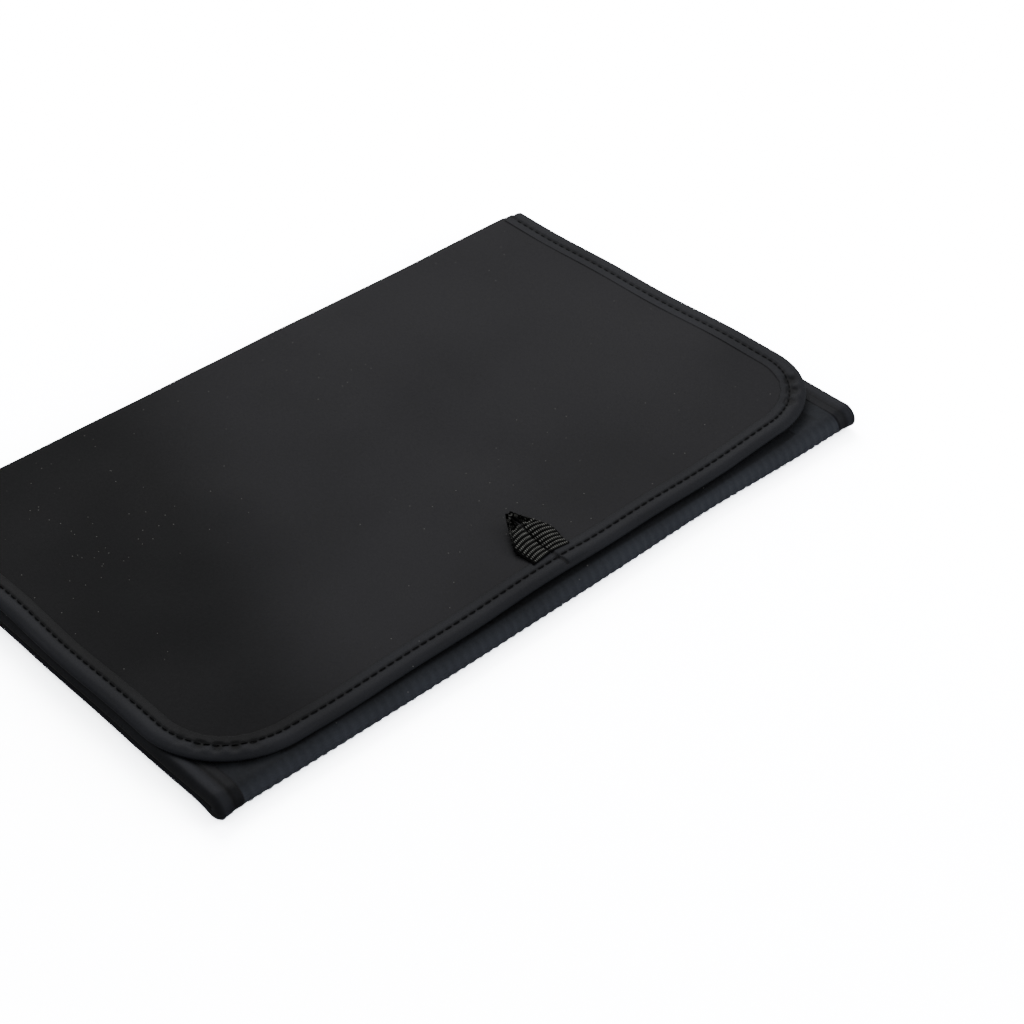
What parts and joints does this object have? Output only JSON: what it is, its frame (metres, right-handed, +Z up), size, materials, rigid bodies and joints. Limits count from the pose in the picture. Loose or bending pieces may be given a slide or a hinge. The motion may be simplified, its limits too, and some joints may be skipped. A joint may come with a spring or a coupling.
{
  "type": "film changing bag",
  "caption": "Light-tight black cloth bag with zips and elastic-cuffed sleeves for handling film, folded flat under a bound cover flap with a webbing pull tab.",
  "frame": {"origin": "centre of the folded footprint, on the ground", "axes": "+Z up, +X along the long edge, -Y towards the front fold and the pull tab"},
  "size_m": [0.3, 0.187, 0.0197],
  "materials": {
    "shell_cloth": "matte black tightly woven coated nylon",
    "lining_cloth": "smooth black rubberised cotton lining",
    "binding_tape": "black folded binding with a soft sheen",
    "tab_webbing": "ribbed black webbing",
    "zip_tape": "black herringbone zip tape",
    "zip_coil": "black nylon coils",
    "zip_metal": "black enamelled zip metal",
    "hook_tape": "black hook tape",
    "loop_pile": "black brushed loop pile",
    "cuff_cloth": "black gathered cuff cloth",
    "wrist_elastic": "black braided elastic"
  },
  "bodies": {
    "upper_section": {"upper_underside_panel": "shell_cloth", "liner_bottom_panel": "lining_cloth", "liner_top_front_panel": "lining_cloth", "liner_top_rear_panel": "lining_cloth", "upper_top_front_panel": "shell_cloth", "upper_top_rear_panel": "shell_cloth", "upper_side_binding_left": "binding_tape", "upper_side_binding_right": "binding_tape", "loop_strip": "loop_pile", "front_fold": "shell_cloth", "back_fold": "shell_cloth", "outer_zip_tape_front": "zip_tape", "outer_zip_tape_rear": "zip_tape", "outer_zip_coil_front": "zip_coil", "outer_zip_coil_rear": "zip_coil", "outer_zip_stop_left": "zip_metal", "outer_zip_stop_right": "zip_metal", "inner_zip_tape_front": "zip_tape", "inner_zip_tape_rear": "zip_tape", "inner_zip_coil_front": "zip_coil", "inner_zip_coil_rear": "zip_coil", "inner_zip_stop_left": "zip_metal", "inner_zip_stop_right": "zip_metal"},
    "flap": {"flap_outer_panel": "shell_cloth", "flap_lining": "lining_cloth", "flap_binding": "binding_tape", "hook_strip": "hook_tape"},
    "pull_tab": {"pull_tab": "tab_webbing"},
    "lower_section": {"lower_outer_panel": "shell_cloth", "lower_liner": "lining_cloth", "lower_inner_panel": "shell_cloth", "lower_end_seam": "binding_tape", "lower_side_binding_left": "binding_tape", "lower_side_binding_right": "binding_tape"},
    "sleeve_left": {"sleeve_left_under_layer": "shell_cloth", "sleeve_left_over_layer": "shell_cloth", "cuff_left_under_half": "cuff_cloth", "cuff_left_over_half": "cuff_cloth", "wrist_elastic_left": "wrist_elastic"},
    "sleeve_right": {"sleeve_right_under_layer": "shell_cloth", "sleeve_right_over_layer": "shell_cloth", "cuff_right_under_half": "cuff_cloth", "cuff_right_over_half": "cuff_cloth", "wrist_elastic_right": "wrist_elastic"},
    "outer_zip_slider": {"outer_zip_slider": "zip_metal"},
    "outer_zip_pull": {"outer_zip_pull": "zip_metal"},
    "inner_zip_slider": {"inner_zip_slider": "zip_metal"},
    "inner_zip_pull": {"inner_zip_pull": "zip_metal"}
  },
  "joints": [
    {"name": "flap_hinge", "type": "hinge", "parent": "upper_section", "child": "flap", "pos_m": [0, 0.0905, 0.0102], "axis": [-1, 0, 0], "range_deg": [0, 180]},
    {"name": "pull_tab_hinge", "type": "hinge", "parent": "flap", "child": "pull_tab", "pos_m": [0.006, -0.0785, 0.0138], "axis": [1, 0, 0], "range_deg": [0, 150]},
    {"name": "front_fold_hinge", "type": "hinge", "parent": "upper_section", "child": "lower_section", "pos_m": [0, -0.0913, 0.00505], "axis": [-1, 0, 0], "range_deg": [0, 180]},
    {"name": "sleeve_left_fold", "type": "hinge", "parent": "lower_section", "child": "sleeve_left", "pos_m": [-0.073, 0.0905, 0.00225], "axis": [1, 0, 0], "range_deg": [0, 180]},
    {"name": "sleeve_right_fold", "type": "hinge", "parent": "lower_section", "child": "sleeve_right", "pos_m": [0.073, 0.0905, 0.00225], "axis": [1, 0, 0], "range_deg": [0, 180]},
    {"name": "outer_zip_slide", "type": "slide", "parent": "upper_section", "child": "outer_zip_slider", "axis": [1, 0, 0], "range_m": [0, 0.242]},
    {"name": "outer_zip_pull_swivel", "type": "hinge", "parent": "outer_zip_slider", "child": "outer_zip_pull", "pos_m": [-0.116, 0.068, 0.0105], "axis": [0, 0, 1], "range_deg": [-25, 25]},
    {"name": "inner_zip_slide", "type": "slide", "parent": "upper_section", "child": "inner_zip_slider", "axis": [-1, 0, 0], "range_m": [0, 0.242]},
    {"name": "inner_zip_pull_swivel", "type": "hinge", "parent": "inner_zip_slider", "child": "inner_zip_pull", "pos_m": [0.116, 0.044, 0.0082], "axis": [0, 0, 1], "range_deg": [-25, 25]}
  ]
}
